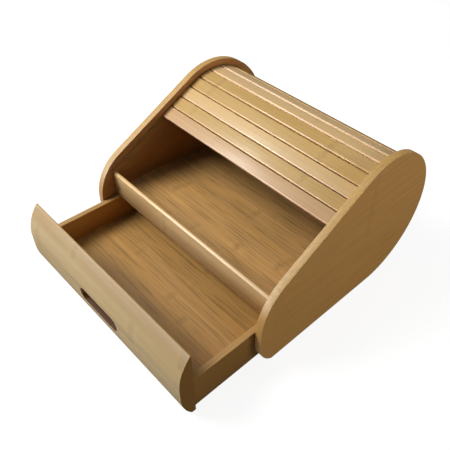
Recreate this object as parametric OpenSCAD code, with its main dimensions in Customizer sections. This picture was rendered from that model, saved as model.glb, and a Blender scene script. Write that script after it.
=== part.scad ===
// Roll top bread box with a drawer, built from bamboo boards.
// Millimetres. X runs along the slats, the front faces -Y, Z is up.
// The origin is on the surface the box stands on, under the middle of the whole box
// as drawn, with its drawer pulled out.
// Profiles are drawn in a flat plane: first value is the distance back from the
// front of the side boards, second value is the height.

/* [Case] */
// Outside width over both side boards
width = 400; // [360:5:440]
// Thickness of a side board
side_t = 11.5; // [10:0.5:14]
// Depth of a side board from front to back
depth = 370; // [360:5:390]
// Radius of the round back of a side board
back_r = 123; // [121:0.5:125]
// Angle of the sloping front edge above level
slope = 28.6; // [27:0.2:30]
// Radius where the upright front edge turns into the slope
brow_r = 85; // [80:1:90]
// Radius of the curve under the front edge
chin_r = 50; // [46:1:54]
// Thickness of the shelf, the base and the back board
board_t = 8; // [6:0.5:9]
// Height of the top face of the shelf
shelf_top = 80; // [78:1:84]
// Height of the top edge of the front lip
lip_top = 115.5; // [108:0.5:116]
// Thickness of the front lip
lip_t = 7; // [5:0.5:9]

/* [Roll top] */
// Distance from one slat to the next along the track
pitch = 23.6; // [23.2:0.1:23.8]
// Open joint between two slats
slat_gap = 1.2; // [0.8:0.1:1.4]
// Thickness of a slat
slat_t = 6; // [5:0.5:6]
// How far the front edge is rolled back from the closed place
rolled_back = 122.5; // [110:0.5:122.5]
// Width of the track groove in a side board
groove_w = 7; // [6.5:0.5:8]
// Depth of the track groove in a side board
groove_d = 5; // [4.5:0.5:6]

/* [Drawer] */
// How far the drawer is pulled out
pulled_out = 134; // [0:1:180]
// Thickness of the drawer sides and back
drawer_t = 9; // [7:0.5:10]
// Height of the top edge of the drawer sides
drawer_top = 69; // [60:1:69]
// Length of the finger slot
slot_l = 94; // [80:1:110]
// Height of the finger slot
slot_h = 24; // [20:1:26]
// Height of the middle of the finger slot
slot_z = 59.5; // [50:0.5:62]

/* [Hidden] */
$fn = 72;

// Inside face of a side board
inner_x = width / 2 - side_t;
// The drawer front stands this far behind the front edge of the side boards when shut
front_inset = 4.5;
// Middle of the whole box from front to back
mid_y = (depth + front_inset - pulled_out) / 2;
// Middle of the round back
hub_y = depth - back_r;
hub_z = back_r;
// Direction up the slope, and square to it
up_y = cos(slope);
up_z = sin(slope);

// The slope runs this far inside the circle of the round back
slope_in = 6.5;
slope_r = back_r - slope_in;
// Arc that joins the slope to the round back: its radius, and its middle, which is also
// the middle of the round part of the roll top's track
crown_r = 110;
crown_run = sqrt(pow(back_r - crown_r, 2) - pow(slope_r - crown_r, 2));
roll_y = hub_y - (slope_r - crown_r) * up_z + crown_run * up_y;
roll_z = hub_z + (slope_r - crown_r) * up_y + crown_run * up_z;
// The upright front edge ends here and the brow begins
brow_z = 71.5;
chin_z = 42;
// Small round on the bottom front corner
toe_r = 8;
// Arcs stand this much proud of the lines they run into, so the pieces of an outline join
blend = 0.02;

// Track of the roll top: the inner faces of the slats follow a line, then an arc.
// The outer faces lie this far inside the slope and the crown of the side boards.
edge_in = 11.5;
track_r = crown_r - edge_in - slat_t;
track_line = 191 + crown_run;
foot_y = roll_y - track_r * up_z;
foot_z = roll_z + track_r * up_y;
slat_w = pitch - slat_gap;
slat_count = 15;
// Slats 4 to 8 are cut short of the track, slats with tongues run in it
end_gap = 0.4;
tongue_l = 4;
tongue_t = 4;
tongue_w = slat_w - 3;
// Half angle that one slat covers on the arc
half_turn = asin(slat_w / (2 * track_r));
// Where the track stops at the back, as an angle above level
track_end = -66;
cloth_t = 0.5;

// Base, lip and shelf
lip_y = 27;
base_z = 1.5;
base_back = 255;
shelf_back = 300;
back_board_top = 188;
lip_z = 70;

// Drawer, drawn closed and then moved out
front_plane = 26.5;
front_x = inner_x - 0.6;
front_z = 1.5;
belly_r = 85;
belly_z = 50;
tip_cut = 1.6;
drawer_x = inner_x - 1.8;
drawer_y = 282;
drawer_z = 10;
floor_z = 20;
floor_t = 6;
floor_in = 4;
drawer_back_top = drawer_top - 3;
fit = 0.2;

// Dowels
dowel_r = 2.5;
dowel_l = 24;
dowel_in = 8;
dowel_play = 0.05;

// A flat profile pushed along X from x0, over a length
module along_x(x0, length) {
  translate([x0, -mid_y, 0])
    rotate([90, 0, 90])
      linear_extrude(length)
        children();
}

// Everything above a height, as one big square
module above(z) {
  translate([-500, z])
    square([1500, 1000]);
}

// Round bar along X that fills out one curve of a side board
module bar(y, z, r) {
  along_x(inner_x, side_t)
    translate([y, z])
      circle(r);
}

// Plain side board at the right: straight edges between the places where the curves
// touch them, and a round bar for each curve
module side_blank() {
  toe_y = chin_r - sqrt(pow(chin_r - toe_r, 2) - pow(chin_z - toe_r, 2));
  toe_k = chin_r / (chin_r - toe_r);
  toe_top = chin_z - (chin_z - toe_r) * toe_k;
  // Where the crown arc touches the round back
  crown_k = back_r / (back_r - crown_r);
  touch_y = hub_y + (roll_y - hub_y) * crown_k;
  touch_z = hub_z + (roll_z - hub_z) * crown_k;
  // The brow touches the upright edge and the slope
  brow_h = hub_z + (slope_r - brow_r - (hub_y - brow_r) * up_z) / up_y;
  intersection() {
    union() {
      along_x(inner_x, side_t)
        polygon([
          [toe_y, 0],
          [chin_r - (chin_r - toe_y) * toe_k, toe_top],
          [0, chin_z],
          [0, brow_h],
          [brow_r - brow_r * up_z, brow_h + brow_r * up_y],
          [roll_y - crown_r * up_z, roll_z + crown_r * up_y],
          [touch_y, touch_z],
          [hub_y, hub_z],
          [hub_y, 0]
        ]);
      bar(toe_y, toe_r, toe_r + 2 * blend);
      bar(brow_r, brow_h, brow_r + blend);
      bar(roll_y, roll_z, crown_r + 2 * blend);
      // The round back counts only behind the place where the crown arc touches it
      intersection() {
        bar(hub_y, hub_z, back_r + blend);
        along_x(inner_x - 1, side_t + 2)
          polygon([
            [hub_y, hub_z],
            [hub_y + 2 * (touch_y - hub_y), hub_z + 2 * (touch_z - hub_z)],
            [hub_y + 2 * back_r, hub_z + 2 * (touch_z - hub_z)],
            [hub_y + 2 * back_r, -back_r],
            [hub_y, -back_r]
          ]);
      }
      intersection() {
        bar(chin_r, chin_z, chin_r + blend);
        along_x(inner_x - 1, side_t + 2)
          above(toe_top + 1);
      }
    }
    along_x(inner_x - 1, side_t + 2)
      above(0);
  }
}

// Outline of the track groove, down the slope and round the back
module track_outline() {
  mid_r = track_r + slat_t / 2;
  run = track_line + 5;
  // Straight part
  translate([foot_y, foot_z])
    rotate(slope)
      translate([-run, slat_t / 2 - groove_w / 2])
        square([run, groove_w]);
  // Round front end
  translate([foot_y - run * up_y - slat_t / 2 * up_z, foot_z - run * up_z + slat_t / 2 * up_y])
    circle(groove_w / 2 + 2 * blend);
  // Round part
  translate([roll_y, roll_z]) {
    intersection() {
      difference() {
        circle(mid_r + groove_w / 2);
        circle(mid_r - groove_w / 2);
      }
      polygon([
        [0, 0],
        [200 * cos(track_end), 200 * sin(track_end)],
        [300, 0],
        [300, 300],
        [0, 300],
        [-200 * up_z, 200 * up_y]
      ]);
    }
    translate([mid_r * cos(track_end), mid_r * sin(track_end)])
      circle(groove_w / 2 + 2 * blend);
  }
}

// Dowels stand across the joint between a board end and a side board.
// Each place is [distance back, height].
base_places = [[50, 5.5], [140, 5.5], [230, 5.5]];
shelf_places = [[70, 76], [170, 76], [270, 76]];
lip_places = [[30.5, 98]];
back_places = [[304, 110], [304, 165]];

module side_dowels(places, r, extra) {
  for (p = places)
    for (s = [-1, 1])
      translate([s * (inner_x + dowel_in - dowel_l / 2), p[0] - mid_y, p[1]])
        rotate([0, 90, 0])
          cylinder(h = dowel_l + extra, r = r, center = true);
}

module side_dowel_holes(places) {
  side_dowels(places, dowel_r + dowel_play, 0.6);
}

// Side board standing at the right, the left one is its mirror image
module side_board() {
  difference() {
    side_blank();
    along_x(inner_x - 1, groove_d + 1)
      track_outline();
    side_dowel_holes(base_places);
    side_dowel_holes(shelf_places);
    side_dowel_holes(lip_places);
    side_dowel_holes(back_places);
  }
}

module side_panel_left() {
  color("burlywood")
    mirror([1, 0, 0])
      side_board();
}

module side_panel_right() {
  color("burlywood")
    side_board();
}

// A level or upright board between the side boards
module cross_board(y0, y1, z0, z1, places) {
  difference() {
    along_x(-inner_x, 2 * inner_x)
      translate([y0, z0])
        square([y1 - y0, z1 - z0]);
    side_dowel_holes(places);
  }
}

module base_panel() {
  color("tan")
    cross_board(lip_y, base_back, base_z, base_z + board_t, base_places);
}

module shelf() {
  color("tan")
    cross_board(lip_y + lip_t, shelf_back, shelf_top - board_t, shelf_top, shelf_places);
}

module back_board() {
  color("tan")
    cross_board(shelf_back, shelf_back + board_t, shelf_top - board_t, back_board_top, back_places);
}

// Front lip with a round top edge
module front_lip() {
  color("burlywood")
    difference() {
      along_x(-inner_x, 2 * inner_x)
        translate([lip_y, lip_z]) {
          square([lip_t, lip_top - lip_z - lip_t / 2]);
          translate([lip_t / 2, lip_top - lip_z - lip_t / 2])
            circle(lip_t / 2);
        }
      side_dowel_holes(lip_places);
    }
}

// Section of the drawer front: flat behind, swollen in front
module front_section() {
  r = brow_r - front_inset;
  toe = 4;
  intersection() {
    union() {
      translate([brow_r, brow_z])
        circle(r);
      translate([front_inset, belly_z])
        square([30, brow_z - belly_z]);
      intersection() {
        translate([front_inset + belly_r, belly_z])
          circle(belly_r);
        translate([0, front_z + toe])
          square([100, belly_z - toe - front_z]);
      }
      translate([front_inset + belly_r - sqrt(pow(belly_r - toe, 2) - pow(belly_z - front_z - toe, 2)),
          front_z + toe])
        circle(toe);
      translate([front_inset + belly_r - sqrt(pow(belly_r - toe, 2) - pow(belly_z - front_z - toe, 2)),
          front_z])
        square([20, toe + 2]);
    }
    translate([0, front_z])
      square([front_plane, brow_z + sqrt(pow(r, 2) - pow(brow_r - front_plane, 2)) - tip_cut - front_z]);
  }
}

// Short dowels between the drawer front or back and the drawer sides
module drawer_dowels(y, z_list, r, extra) {
  for (z = z_list)
    for (s = [-1, 1])
      translate([s * (drawer_x - drawer_t / 2), y - mid_y, z])
        rotate([90, 0, 0])
          cylinder(h = dowel_l + extra, r = r, center = true);
}

module back_dowels(r, extra) {
  for (z = [34, 54])
    for (s = [-1, 1])
      translate([s * (drawer_x - dowel_l / 2 - 2), drawer_y - drawer_t / 2 - mid_y, z])
        rotate([0, 90, 0])
          cylinder(h = dowel_l + extra, r = r, center = true);
}

front_dowel_y = front_plane + dowel_l / 2 - 10;
front_dowel_z = [16, 40, 60];

module pull() {
  translate([0, -pulled_out, 0])
    children();
}

module drawer_front() {
  color("burlywood")
    pull()
      difference() {
        along_x(-front_x, 2 * front_x)
          front_section();
        // Finger slot right through
        translate([0, -mid_y, slot_z])
          rotate([90, 0, 0])
            linear_extrude(100, center = true) {
              square([slot_l - slot_h, slot_h], center = true);
              for (s = [-1, 1])
                translate([s * (slot_l - slot_h) / 2, 0])
                  circle(slot_h / 2);
            }
        // Groove for the drawer floor
        along_x(-drawer_x + drawer_t - floor_in - fit, 2 * (drawer_x - drawer_t + floor_in + fit))
          translate([front_plane - floor_in - fit, floor_z])
            square([floor_in + fit + 1, floor_t]);
        drawer_dowels(front_dowel_y, front_dowel_z, dowel_r + dowel_play, 0.6);
      }
}

// Right drawer side, the left one is its mirror image
module drawer_side() {
  difference() {
    along_x(drawer_x - drawer_t, drawer_t)
      translate([front_plane, drawer_z])
        square([drawer_y - front_plane, drawer_top - drawer_z]);
    along_x(drawer_x - drawer_t - 1, floor_in + fit + 1)
      translate([front_plane - 1, floor_z])
        square([drawer_y - drawer_t + floor_in + fit - front_plane + 1, floor_t]);
    drawer_dowels(front_dowel_y, front_dowel_z, dowel_r + dowel_play, 0.6);
    back_dowels(dowel_r + dowel_play, 0.6);
  }
}

module drawer_side_left() {
  color("wheat")
    pull()
      mirror([1, 0, 0])
        drawer_side();
}

module drawer_side_right() {
  color("wheat")
    pull()
      drawer_side();
}

module drawer_back() {
  color("wheat")
    pull()
      difference() {
        along_x(-drawer_x + drawer_t, 2 * (drawer_x - drawer_t))
          translate([drawer_y - drawer_t, drawer_z])
            square([drawer_t, drawer_back_top - drawer_z]);
        along_x(-drawer_x, 2 * drawer_x)
          translate([drawer_y - drawer_t - 1, floor_z])
            square([floor_in + fit + 1, floor_t]);
        back_dowels(dowel_r + dowel_play, 0.6);
      }
}

module drawer_bottom() {
  color("tan")
    pull()
      along_x(-drawer_x + drawer_t - floor_in, 2 * (drawer_x - drawer_t + floor_in))
        translate([front_plane - floor_in, floor_z])
          square([drawer_y - drawer_t + 2 * floor_in - front_plane, floor_t]);
}

// Section of a slat, flat inside, rounded along both outer edges
module slat_section() {
  r = 2.4;
  square([slat_w, slat_t - r]);
  translate([r, 0])
    square([slat_w - 2 * r, slat_t]);
  for (x = [r, slat_w - r])
    translate([x, slat_t - r])
      circle(r);
}

// Place a child at slat number i, counted from the front edge, on the track
module on_track(i) {
  s = rolled_back + pitch * (i - 1);
  if (i < 4) {
    translate([foot_y - (track_line - s) * up_y, foot_z - (track_line - s) * up_z])
      rotate(slope)
        children();
  } else {
    turn = 90 + slope - (s - track_line) / track_r * 180 / PI;
    translate([roll_y + track_r * cos(turn), roll_z + track_r * sin(turn)])
      rotate(turn - 90 - half_turn)
        children();
  }
}

// Slats 1, 2 and 9 to 15 keep to the track and have tongues
module slat(i) {
  half = inner_x - end_gap;
  color(i % 3 == 0 ? "wheat" : (i % 3 == 1 ? "burlywood" : "tan"))
    union() {
      along_x(-half, 2 * half)
        on_track(i)
          slat_section();
      if (i < 3 || i > 8)
        along_x(-half - tongue_l, 2 * (half + tongue_l))
          on_track(i)
            translate([(slat_w - tongue_w) / 2, (slat_t - tongue_t) / 2])
              square([tongue_w, tongue_t]);
    }
}

// Cloth glued behind the slats from number a to number b, one strip behind each
module cloth(a, b) {
  half = inner_x - 14;
  color("darkkhaki")
    for (i = [a:b])
      along_x(-half, 2 * half)
        on_track(i)
          translate([0.6, -cloth_t])
            square([slat_w - 1.2, cloth_t]);
}

module dowel_color() {
  color("peru")
    children();
}

side_panel_left();
side_panel_right();
base_panel();
shelf();
front_lip();
back_board();
drawer_front();
drawer_side_left();
drawer_side_right();
drawer_back();
drawer_bottom();
slat(1);  // slat_01
slat(2);  // slat_02
slat(3);  // slat_03
slat(4);  // slat_04
slat(5);  // slat_05
slat(6);  // slat_06
slat(7);  // slat_07
slat(8);  // slat_08
slat(9);  // slat_09
slat(10);  // slat_10
slat(11);  // slat_11
slat(12);  // slat_12
slat(13);  // slat_13
slat(14);  // slat_14
slat(15);  // slat_15
cloth(1, 3);  // cloth_front
cloth(4, 4);  // cloth_04
cloth(5, 5);  // cloth_05
cloth(6, 6);  // cloth_06
cloth(7, 7);  // cloth_07
cloth(8, 8);  // cloth_08
cloth(9, slat_count);  // cloth_tail
dowel_color() side_dowels(base_places, dowel_r, 0);  // dowels_base
dowel_color() side_dowels(shelf_places, dowel_r, 0);  // dowels_shelf
dowel_color() side_dowels(lip_places, dowel_r, 0);  // dowels_lip
dowel_color() side_dowels(back_places, dowel_r, 0);  // dowels_back
dowel_color() pull() drawer_dowels(front_dowel_y, front_dowel_z, dowel_r, 0);  // dowels_drawer_front
dowel_color() pull() back_dowels(dowel_r, 0);  // dowels_drawer_back
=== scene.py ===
import bpy
import math
from mathutils import Matrix, Vector

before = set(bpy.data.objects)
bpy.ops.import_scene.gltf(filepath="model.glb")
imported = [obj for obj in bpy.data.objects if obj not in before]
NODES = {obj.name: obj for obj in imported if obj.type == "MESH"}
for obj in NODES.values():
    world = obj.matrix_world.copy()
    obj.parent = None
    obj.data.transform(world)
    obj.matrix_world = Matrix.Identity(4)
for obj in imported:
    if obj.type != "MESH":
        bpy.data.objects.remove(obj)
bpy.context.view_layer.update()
MM = 0.001

# ---------------------------------------------------------------- places in the frame, in metres
# The inside face of a side board, and the step between the three dark seams across its rim
SIDE_INNER_X = 0.1885
SEAM_STEP = 0.0115 / 3
# A distance from the middle that falls inside the thickness of the drawer's sides
DRAWER_SIDE_X = 0.180
# The roll's centre and the slope in front of it, in the YZ plane
ROLL_Y = 0.133523
ROLL_Z = 0.134096
SLOPE = math.radians(28.6)
# A box just larger than the finger slot: bottom, top and half its length
SLOT_LOW = 0.0465
SLOT_HIGH = 0.0725
SLOT_HALF = 0.0475


# ---------------------------------------------------------------- shader helpers
class Graph:
    """Writes the shader nodes of one material, or of the world."""

    def __init__(self, owner, shader):
        owner.use_nodes = True
        self.owner = owner
        self.tree = owner.node_tree
        self.shader = self.tree.nodes[shader]

    def node(self, kind, **props):
        n = self.tree.nodes.new(kind)
        for k, v in props.items():
            setattr(n, k, v)
        return n

    def feed(self, socket, value):
        """Gives an input its value, or links it to the output that makes the value."""
        if isinstance(value, bpy.types.NodeSocket):
            self.tree.links.new(value, socket)
        else:
            socket.default_value = value

    def put(self, name, value):
        self.feed(self.shader.inputs[name], value)

    def math(self, operation, a, b=0.0):
        n = self.node("ShaderNodeMath", operation=operation)
        self.feed(n.inputs[0], a)
        self.feed(n.inputs[1], b)
        return n.outputs[0]

    def add(self, a, b):
        return self.math("ADD", a, b)

    def subtract(self, a, b):
        return self.math("SUBTRACT", a, b)

    def multiply(self, a, b):
        return self.math("MULTIPLY", a, b)

    def divide(self, a, b):
        return self.math("DIVIDE", a, b)

    def absolute(self, a):
        return self.math("ABSOLUTE", a)

    def combine(self, x, y, z):
        n = self.node("ShaderNodeCombineXYZ")
        for socket, value in zip(n.inputs, (x, y, z)):
            self.feed(socket, value)
        return n.outputs[0]

    def split(self, vector):
        n = self.node("ShaderNodeSeparateXYZ")
        self.feed(n.inputs[0], vector)
        return n.outputs

    def noise(self, vector, detail, rough):
        n = self.node("ShaderNodeTexNoise")
        self.feed(n.inputs["Vector"], vector)
        self.feed(n.inputs["Scale"], 1.0)
        self.feed(n.inputs["Detail"], detail)
        self.feed(n.inputs["Roughness"], rough)
        return n.outputs["Fac"]

    def white(self, vector):
        n = self.node("ShaderNodeTexWhiteNoise", noise_dimensions="3D")
        self.feed(n.inputs["Vector"], vector)
        return n.outputs["Value"]

    def ramp(self, value, stops):
        n = self.node("ShaderNodeValToRGB")
        self.feed(n.inputs["Fac"], value)
        e = n.color_ramp.elements
        while len(e) < len(stops):
            e.new(0.5)
        for el, (pos, col) in zip(e, stops):
            el.position = pos
            el.color = (*col, 1.0)
        return n.outputs["Color"]

    def remap(self, value, low, high, at_low, at_high):
        n = self.node("ShaderNodeMapRange", clamp=True)
        self.feed(n.inputs["Value"], value)
        for key, v in zip(("From Min", "From Max", "To Min", "To Max"), (low, high, at_low, at_high)):
            self.feed(n.inputs[key], v)
        return n.outputs["Result"]

    def ease(self, value, low, high, at_low, at_high):
        """The same as remap, with a smooth start and end."""
        result = self.remap(value, low, high, at_low, at_high)
        result.node.interpolation_type = "SMOOTHSTEP"
        return result

    def mix(self, factor, a, b):
        n = self.node("ShaderNodeMix", data_type="RGBA")
        self.feed(n.inputs[0], factor)
        for socket, value in ((n.inputs[6], a), (n.inputs[7], b)):
            self.feed(socket, value if isinstance(value, bpy.types.NodeSocket) else (*value, 1.0))
        return n.outputs[2]

    def tinted(self, col, tint):
        """col with each channel scaled by tint."""
        n = self.node("ShaderNodeVectorMath", operation="MULTIPLY")
        self.feed(n.inputs[0], col)
        self.feed(n.inputs[1], tint)
        return n.outputs[0]

    def scaled(self, col, gain):
        """col made brighter or darker by gain."""
        n = self.node("ShaderNodeVectorMath", operation="SCALE")
        self.feed(n.inputs[0], col)
        self.feed(n.inputs["Scale"], gain)
        return n.outputs[0]

    def bump(self, height, strength, distance):
        n = self.node("ShaderNodeBump")
        self.feed(n.inputs["Strength"], strength)
        self.feed(n.inputs["Distance"], distance)
        self.feed(n.inputs["Height"], height)
        self.put("Normal", n.outputs["Normal"])


def material_graph(name):
    return Graph(bpy.data.materials.new(name), "Principled BSDF")


def shade(color, k):
    return tuple(min(1.0, c * k) for c in color)


def times(color, tint):
    return tuple(c * t for c, t in zip(color, tint))


# ---------------------------------------------------------------- finishes, painted light and painted shade of single pieces
# Each makes a layer: a function that takes the graph and the colour so far and gives the new colour.
def painted_edge_highlight(tint):
    """Painted highlight: the long edge of a slat that leads down the slope is painted paler, for the light
    its rounded edge catches.
    """

    def layer(g, col):
        # away from the roll: square to the slope in front of its centre, from the centre behind it
        dy = g.subtract(g.place[1], ROLL_Y)
        dz = g.subtract(g.place[2], ROLL_Z)
        ahead = g.add(g.multiply(dy, math.cos(SLOPE)), g.multiply(dz, math.sin(SLOPE)))
        ahead = g.math("MINIMUM", ahead, 0.0)
        out_y = g.subtract(dy, g.multiply(ahead, math.cos(SLOPE)))
        out_z = g.subtract(dz, g.multiply(ahead, math.sin(SLOPE)))
        length = g.math("SQRT", g.add(g.multiply(out_y, out_y), g.multiply(out_z, out_z)))
        lead = g.subtract(g.multiply(g.normal[2], out_y), g.multiply(g.normal[1], out_z))
        lead = g.divide(lead, length)
        return g.mix(g.ease(lead, 0.16, 0.42, 0.0, 1.0), col, g.tinted(col, tint))

    return layer


def facing_up(g):
    return g.remap(g.normal[2], 0.75, 0.95, 0.0, 1.0)


def painted_lit_top(tint):
    """Painted light: the narrow top edge of a board is painted paler than its sides, as lit from above."""

    def layer(g, col):
        return g.mix(facing_up(g), col, g.tinted(col, tint))

    return layer


def pressed_layers(tint, strength):
    """The rim of a side board is paler and shows the layers it is pressed from."""

    def layer(g, col):
        rim = g.remap(g.absolute(g.normal[0]), 0.35, 0.7, 1.0, 0.0)
        col = g.mix(rim, col, g.tinted(col, tint))
        depth = g.divide(g.subtract(g.absolute(g.place[0]), SIDE_INNER_X), SEAM_STEP)
        from_middle = g.absolute(g.subtract(g.math("FRACT", depth), 0.5))
        seam = g.multiply(g.ease(from_middle, 0.0, 0.16, 1.0, 0.0), strength)
        return g.mix(g.multiply(rim, seam), col, shade(g.base, 0.42))

    return layer


def golden_ridge(tint):
    """The drawer front is golden where it curves over towards its top edge."""

    def layer(g, col):
        return g.mix(g.ease(g.normal[2], 0.30, 0.66, 0.0, 1.0), col, g.tinted(col, tint))

    return layer


def painted_slot_shade(tint):
    """Painted shade: the finger slot's own walls are painted darker, for the shade inside the recess."""

    def layer(g, col):
        from_middle = g.absolute(g.subtract(g.place[2], (SLOT_LOW + SLOT_HIGH) / 2))
        in_height = g.math("LESS_THAN", from_middle, (SLOT_HIGH - SLOT_LOW) / 2)
        in_length = g.math("LESS_THAN", g.absolute(g.place[0]), SLOT_HALF)
        wall = g.remap(g.normal[1], -0.65, -0.35, 0.0, 1.0)
        wall = g.multiply(wall, g.multiply(in_height, in_length))
        return g.mix(wall, col, g.tinted(col, tint))

    return layer


def painted_inner_shading(tint, limit_x, keep_top=False):
    """Painted light and shade: what lies nearer the middle than limit_x is tinted darker or lighter than
    the outer faces, for the light that reaches it, if need be without its top.
    """

    def layer(g, col):
        inside = g.remap(g.absolute(g.place[0]), limit_x - 0.2 * MM, limit_x + 0.4 * MM, 1.0, 0.0)
        if keep_top:
            inside = g.multiply(inside, g.subtract(1.0, facing_up(g)))
        return g.mix(inside, col, g.tinted(col, tint))

    return layer


# ---------------------------------------------------------------- bamboo
AXES = "XYZ"
# Far wider than a slat or a board's edge, for pieces without strips of their own
ONE_STRIP = 0.5
# How far the start of the fibres may differ from strip to strip
STRIP_SHIFT = 1.3
# Tints of the bands in the wood
GOLD = (1.02, 0.95, 0.72)
GREY = (0.97, 1.0, 1.12)
# Distance between knots along a strip, and four times the bow of the line through a knot
KNOT_GAP = 0.25
KNOT_BOW = 0.006
# Distances from a knot's middle where its patch, line and pale halo start to fade and are gone
KNOT_PATCH = (0.002, 0.0095)
KNOT_LINE = (0.0003, 0.0022)
KNOT_HALO = (0.004, 0.022)
# Width of the dark line where two strips are glued
GLUE_LINE = 0.0005
# How strongly the lacquer bends light, and the height of the grain's relief
WOOD_IOR = 1.42
WOOD_BUMP = 0.0003


def knot_marks(g, along, strip_at, start, pick, mottle):
    """A mottled patch across one strip with a fine bowed line in its middle, and a halo around it."""
    to_edges = g.multiply(strip_at, g.subtract(1.0, strip_at))
    where = g.add(g.add(along, g.multiply(start, KNOT_GAP)), g.multiply(to_edges, KNOT_BOW))
    cell = g.divide(g.add(where, 5.0), KNOT_GAP)
    phase = g.subtract(g.subtract(cell, g.math("FLOOR", cell)), 0.5)
    dist = g.multiply(g.absolute(phase), KNOT_GAP)
    patch = g.multiply(g.ease(dist, *KNOT_PATCH, 1.0, 0.0), g.remap(mottle, 0.40, 0.60, 0.1, 1.0))
    line = g.multiply(g.ease(dist, *KNOT_LINE, 1.0, 0.0), 0.42)
    strong = g.remap(pick, 0.2, 0.7, 0.15, 1.0)
    knot = g.multiply(g.math("MAXIMUM", g.multiply(patch, 0.75), line), strong)
    halo = g.multiply(g.ease(dist, *KNOT_HALO, 1.0, 0.0), strong)
    return knot, halo


def bamboo(name, base, grain="X", across="Y", strip=0.019, tone=0.05, streak=0.20, knots=0.5, dash=0.25,
           rough=0.40, coat=0.2, coat_rough=0.30, spec=0.5, end=(0.62, 0.60, 0.55), seed=0.0, layers=()):
    """Laminated bamboo: strips side by side, long fibres with short dark vessels, and a knot across
    each strip now and then. grain is the axis the fibres follow, across the axis the strips are
    counted on. tone, streak, knots and dash say how strongly strips, fibres, knots and vessels
    show. Faces square to the grain are end grain, tinted by end. layers are finishes, painted light
    and painted shade from above, laid over the wood in turn."""
    g = material_graph(name)
    g.base = base
    coord = g.node("ShaderNodeTexCoord")
    g.place = g.split(coord.outputs["Object"])
    g.normal = g.split(coord.outputs["Normal"])
    along = g.place[AXES.index(grain)]
    side = g.place[AXES.index(across)]
    third = g.place[AXES.index((set(AXES) - {grain, across}).pop())]

    # strips, each with three values of its own
    strip_pos = g.add(g.divide(side, strip), 0.37 + seed)
    strip_id = g.math("FLOOR", strip_pos)
    strip_at = g.subtract(strip_pos, strip_id)
    pick_tone = g.white(g.combine(strip_id, seed * 3.1 + 0.5, 0.0))
    pick_start = g.white(g.combine(strip_id, seed * 3.1 + 7.5, 2.0))
    pick_knot = g.white(g.combine(strip_id, seed * 3.1 + 4.5, 5.0))
    run = g.add(along, g.multiply(pick_start, STRIP_SHIFT))

    def stretched(lengthwise, crosswise, shift=0.0):
        """A place for noise, with so many turns to the metre along the fibres and across them."""
        return g.combine(g.add(g.multiply(run, lengthwise), shift + seed * 1.7),
                         g.multiply(side, crosswise), g.multiply(third, crosswise))

    # fibres, from hair fine to broad bands, then what mottles the knots and the end grain
    hair = g.noise(stretched(9.0, 1100.0), 2.0, 0.6)
    vessel = g.noise(stretched(13.0, 400.0, shift=3.0), 1.0, 0.5)
    fibre = g.noise(stretched(3.2, 210.0, shift=5.0), 3.0, 0.55)
    band = g.noise(stretched(1.6, 62.0, shift=9.0), 2.0, 0.5)
    broad = g.noise(stretched(3.0, 17.0, shift=1.0), 1.0, 0.5)
    mottle = g.noise(stretched(330.0, 420.0), 2.0, 0.6)
    pores = g.noise(stretched(40.0, 900.0), 1.0, 0.5)
    knot, halo = knot_marks(g, along, strip_at, pick_start, pick_knot, mottle)

    # colour
    dark = shade(base, 1.0 - streak)
    light = shade(base, 1.0 + 0.6 * streak)
    col = g.ramp(fibre, [(0.30, dark), (0.52, base), (0.72, light)])
    col = g.mix(g.remap(band, 0.35, 0.68, 0.0, 0.75), col, times(base, GOLD))
    col = g.mix(g.remap(broad, 0.40, 0.72, 0.0, 0.55), col, times(base, GREY))
    col = g.mix(g.remap(vessel, 0.53, 0.66, 0.0, dash), col, shade(base, 0.5))
    col = g.mix(g.remap(hair, 0.3, 0.7, 0.0, 0.30), col, shade(base, 0.74))
    col = g.scaled(col, g.remap(pick_tone, 0.0, 1.0, 1.0 - tone, 1.0 + tone))
    col = g.mix(g.multiply(halo, 0.25 * knots), col, shade(base, 1.2))
    col = g.mix(g.multiply(knot, knots), col, shade(base, 0.45))
    from_edge = g.multiply(g.math("MINIMUM", strip_at, g.subtract(1.0, strip_at)), strip)
    col = g.mix(g.remap(from_edge, 0.0, GLUE_LINE, 0.14, 0.0), col, shade(base, 0.5))
    for layer in layers:
        col = layer(g, col)

    # end grain
    end_base = times(base, end)
    end_col = g.mix(g.remap(pores, 0.45, 0.65, 0.0, 0.5), end_base, shade(end_base, 0.75))
    square = g.absolute(g.normal[AXES.index(grain)])
    g.put("Base Color", g.mix(g.remap(square, 0.75, 0.95, 0.0, 1.0), col, end_col))

    # satin lacquer, duller where the fibre noise is low
    g.put("Roughness", g.remap(fibre, 0.25, 0.75, rough + 0.07, rough - 0.05))
    g.put("Coat Weight", coat)
    g.put("Coat Roughness", coat_rough)
    g.put("IOR", WOOD_IOR)
    g.put("Specular IOR Level", spec)
    grain_height = g.add(g.multiply(fibre, 0.7), g.multiply(hair, 0.3))
    g.bump(g.subtract(grain_height, g.multiply(knot, 0.5)), 0.20, WOOD_BUMP)
    return g.owner


# ---------------------------------------------------------------- cloth
# Scale of the wave texture that draws the threads, and the height of their relief
WEAVE_SCALE = 260.0
CLOTH_BUMP = 0.0002


def cloth_material(name, base):
    """Plain weave, for the cloth behind the slats."""
    g = material_graph(name)
    coord = g.node("ShaderNodeTexCoord")

    def threads(direction):
        n = g.node("ShaderNodeTexWave", wave_type="BANDS", bands_direction=direction)
        g.feed(n.inputs["Vector"], coord.outputs["Object"])
        g.feed(n.inputs["Scale"], WEAVE_SCALE)
        return n.outputs["Fac"]

    weave = g.multiply(threads("X"), threads("Y"))
    g.put("Base Color", g.ramp(weave, [(0.0, shade(base, 0.7)), (1.0, shade(base, 1.15))]))
    g.put("Roughness", 0.92)
    g.bump(weave, 0.3, CLOTH_BUMP)
    return g.owner


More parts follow.
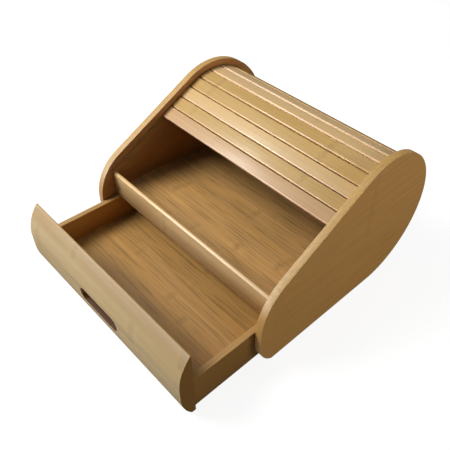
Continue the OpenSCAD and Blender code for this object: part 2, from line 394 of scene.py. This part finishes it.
# ---------------------------------------------------------------- materials
def slat_material(name, base, streak, knots, dash, seed):
    return bamboo(name, base, strip=ONE_STRIP, tone=0.0, streak=streak, knots=knots, dash=dash,
                  # the pale leading edge of each slat is a painted highlight
                  coat=0.35, coat_rough=0.22, seed=seed, layers=[painted_edge_highlight((1.36, 1.32, 1.55))])


slats = {
    "tan": slat_material("slat_tan", (0.54, 0.345, 0.175), streak=0.10, knots=0.35, dash=0.18, seed=0.0),
    "gold": slat_material("slat_gold", (0.51, 0.330, 0.118), streak=0.14, knots=0.45, dash=0.22, seed=1.7),
    "pale": slat_material("slat_pale", (0.61, 0.425, 0.215), streak=0.08, knots=0.3, dash=0.15, seed=3.9),
}
side_mat = bamboo(
    "side_board", (0.47, 0.240, 0.062), grain="Y", across="Z", strip=ONE_STRIP, tone=0.0, streak=0.20,
    knots=0.3, dash=0.25, rough=0.5, coat=0.06, end=(0.95, 1.02, 1.15), seed=0.4,
    # the darker inner faces of the side boards are painted shade
    layers=[pressed_layers((1.08, 1.30, 1.62), 0.35), painted_inner_shading((0.74, 0.52, 0.36), SIDE_INNER_X)])
case_mat = bamboo(
    "case_board", (0.45, 0.255, 0.088), tone=0.10, streak=0.36, knots=0.8, dash=0.85, seed=0.9)
back_mat = bamboo(
    "case_back", (0.42, 0.235, 0.080), across="Z", tone=0.07, streak=0.22, knots=0.6, dash=0.45, seed=2.9)
# The lip's high, pale base is partly painted light: it is raised to stand for light on its recessed front
# face.
lip_mat = bamboo(
    "front_lip", (0.70, 0.475, 0.225), across="Z", strip=ONE_STRIP, tone=0.0, streak=0.10,
    knots=0.5, dash=0.15, coat=0.4, coat_rough=0.22, seed=4.2)
front_mat = bamboo(
    "drawer_front", (0.468, 0.338, 0.166), across="Z", strip=0.045, tone=0.05, streak=0.14,
    # the dark end tint is partly end grain and partly painted shade on the ends, which face away from the
    # key light
    knots=0.5, dash=0.14, rough=0.46, coat=0.06, spec=0.3, end=(0.46, 0.30, 0.13), seed=5.3,
    # the dark finger slot walls are painted shade inside the recess
    layers=[golden_ridge((0.74, 0.62, 0.36)), painted_slot_shade((0.22, 0.12, 0.05))])
# Drawer sides: the dark base is painted shade on their outer faces, which face away from the key light;
# their inner faces and top edge are painted lighter again, as painted light.
drawer_side_mat = bamboo(
    "drawer_side", (0.25, 0.118, 0.021), grain="Y", across="Z", strip=ONE_STRIP, tone=0.0,
    streak=0.16, knots=0.4, dash=0.25, rough=0.5, coat=0.06, seed=6.1,
    layers=[painted_lit_top((1.55, 1.9, 3.4)), painted_inner_shading((2.0, 1.8, 1.7), DRAWER_SIDE_X, keep_top=True)])
# The paler top edge of the drawer back is painted light.
drawer_back_mat = bamboo(
    "drawer_back", (0.36, 0.18, 0.05), across="Z", strip=ONE_STRIP, tone=0.0, streak=0.16,
    knots=0.4, dash=0.25, rough=0.5, coat=0.06, seed=6.6, layers=[painted_lit_top((1.2, 1.4, 2.0))])
drawer_floor_mat = bamboo(
    "drawer_floor", (0.40, 0.225, 0.072), tone=0.10, streak=0.30, knots=0.7, dash=0.70, seed=7.7)
dowel_mat = bamboo("dowel", (0.5, 0.34, 0.18), strip=ONE_STRIP, tone=0.0, streak=0.1, knots=0.0, seed=8.2)
cloth_mat = cloth_material("cloth", (0.22, 0.125, 0.055))

# slats 1 to 15, from the front edge of the roll top to its tail
SLAT_TONES = ["tan", "gold", "pale", "gold", "gold", "pale", "pale", "gold", "pale", "tan", "gold", "pale",
              "tan", "gold", "pale"]
BOARDS = {
    "side_panel_left": side_mat,
    "side_panel_right": side_mat,
    "base_panel": case_mat,
    "shelf": case_mat,
    "front_lip": lip_mat,
    "back_board": back_mat,
    "drawer_front": front_mat,
    "drawer_side_left": drawer_side_mat,
    "drawer_side_right": drawer_side_mat,
    "drawer_back": drawer_back_mat,
    "drawer_bottom": drawer_floor_mat,
}


def material_for(name):
    if name.startswith("slat_"):
        return slats[SLAT_TONES[int(name[-2:]) - 1]]
    if name.startswith("cloth"):
        return cloth_mat
    if name.startswith("dowels"):
        return dowel_mat
    return BOARDS[name]


# ---------------------------------------------------------------- dress the CAD nodes
# How far sanding has eased the edges, in mm
SLAT_EASE = 0.35
BOARD_EASE = {
    "side_panel_left": 1.0,
    "side_panel_right": 1.0,
    "front_lip": 0.6,
    "shelf": 0.4,
    "base_panel": 0.5,
    "back_board": 0.8,
    "drawer_front": 0.9,
    "drawer_side_left": 0.9,
    "drawer_side_right": 0.9,
    "drawer_back": 0.8,
    "drawer_bottom": 0.3,
}
# Edges where the surface turns by more than this are eased
SHARP = math.radians(35)


def soften(obj, width, segments):
    """Eases the sharp edges, as sanding does."""
    weld = obj.modifiers.new("join", "WELD")
    weld.merge_threshold = 0.01 * MM
    bevel = obj.modifiers.new("eased_edges", "BEVEL")
    bevel.width = width
    bevel.segments = segments
    bevel.limit_method = "ANGLE"
    bevel.angle_limit = SHARP
    bevel.harden_normals = False
    bevel.use_clamp_overlap = True


for name, obj in NODES.items():
    obj.data.materials.clear()
    obj.data.materials.append(material_for(name))
    for poly in obj.data.polygons:
        poly.use_smooth = True
    if name in BOARD_EASE:
        soften(obj, BOARD_EASE[name] * MM, 3)
    elif name.startswith("slat_"):
        soften(obj, SLAT_EASE * MM, 2)


# ---------------------------------------------------------------- floor
FLOOR_SIZE = 60.0
# Just under the box, so that the two never touch
FLOOR_Z = -0.0005


def plane(name, size, z):
    mesh = bpy.data.meshes.new(name)
    s = size / 2
    mesh.from_pydata([(-s, -s, z), (s, -s, z), (s, s, z), (-s, s, z)], [], [(0, 1, 2, 3)])
    obj = bpy.data.objects.new(name, mesh)
    bpy.context.scene.collection.objects.link(obj)
    return obj


def add_floor():
    """Nearly white by its own glow. It lights nothing: the sky below the horizon does that."""
    g = material_graph("ground_white")
    g.put("Base Color", (0.18, 0.18, 0.18, 1.0))
    g.put("Roughness", 0.9)
    g.put("Specular IOR Level", 0.1)
    g.put("Emission Color", (1.0, 1.0, 1.0, 1.0))
    g.put("Emission Strength", 0.88)
    ground = plane("ground", FLOOR_SIZE, FLOOR_Z)
    ground.data.materials.append(g.owner)
    ground.visible_diffuse = False
    ground.visible_glossy = False


# ---------------------------------------------------------------- light
# The middle of the box, where most lights point
BOX_MIDDLE = (0.0, 0.0, 0.1)


def area_light(name, place, size, power, color=(1.0, 1.0, 1.0), target=BOX_MIDDLE):
    data = bpy.data.lights.new(name, "AREA")
    data.shape = "RECTANGLE"
    data.size, data.size_y = size
    data.energy = power
    data.color = color
    obj = bpy.data.objects.new(name, data)
    bpy.context.scene.collection.objects.link(obj)
    obj.location = place
    obj.rotation_euler = (Vector(target) - Vector(place)).to_track_quat("-Z", "Y").to_euler()
    return obj


def add_lights():
    """A large key light from the front left, a weak one for the right side, a faint one from above,
    and a card in front that only shows as a sheen."""
    area_light("key", place=(-1.22, -1.08, 1.72), size=(1.3, 1.0), power=68.0, color=(1.0, 0.985, 0.955))
    area_light("side", place=(1.5, 0.75, 0.5), size=(0.7, 0.7), power=11.0, target=(0.1, 0.05, 0.1))
    area_light("top", place=(0.1, 0.9, 2.1), size=(1.2, 1.2), power=4.0)
    card = area_light("card", place=(-1.0, -1.9, 0.6), size=(1.8, 0.5), power=80.0)
    card.visible_diffuse = False


def add_sky():
    """Dim all round, brighter from above, and a white table in front that bounces light up. The
    backdrop that the camera sees is plain white."""
    world = bpy.data.worlds.new("studio")
    bpy.context.scene.world = world
    g = Graph(world, "Background")
    direction = g.split(g.node("ShaderNodeTexCoord").outputs["Generated"])
    dome = g.ease(direction[2], -0.15, 0.25, 0.05, 0.15)
    below = g.ease(direction[2], -0.15, 0.0, 1.0, 0.0)
    ahead = g.ease(direction[1], -0.6, 0.0, 0.95, 0.0)
    studio = g.add(dome, g.multiply(below, ahead))
    backdrop = g.node("ShaderNodeLightPath").outputs["Is Camera Ray"]
    g.put("Strength", g.math("MAXIMUM", studio, backdrop))
    g.put("Color", (1.0, 1.0, 1.0, 1.0))


# ---------------------------------------------------------------- camera
CAMERA_PLACE = (0.5105, -0.44771, 0.7013)
CAMERA_RIGHT = (0.70187, 0.71143, 0.03521)
CAMERA_LOOK = (-0.51935, 0.54494, -0.65826)
# Width of the sensor and length of the lens, in mm, as Blender wants them
SENSOR = 36.0
LENS = 44.70
# How far the lens is shifted sideways and up, in widths of the sensor
SHIFT = (-0.0927, -0.0413)
# The nearest and the farthest that the camera sees
NEAR = 0.05
FAR = 60.0


def add_camera():
    data = bpy.data.cameras.new("camera")
    data.sensor_width = SENSOR
    data.sensor_fit = "HORIZONTAL"
    data.lens = LENS
    data.shift_x, data.shift_y = SHIFT
    data.clip_start = NEAR
    data.clip_end = FAR
    camera = bpy.data.objects.new("camera", data)
    bpy.context.scene.collection.objects.link(camera)
    look = Vector(CAMERA_LOOK).normalized()
    up = Vector(CAMERA_RIGHT).normalized().cross(look).normalized()
    right = look.cross(up).normalized()
    turn = Matrix((right, up, -look)).transposed().to_4x4()
    camera.matrix_world = Matrix.Translation(Vector(CAMERA_PLACE)) @ turn
    bpy.context.scene.camera = camera


add_floor()
add_lights()
add_sky()
add_camera()
scene = bpy.context.scene
scene.view_settings.view_transform = "Standard"
scene.view_settings.look = "None"
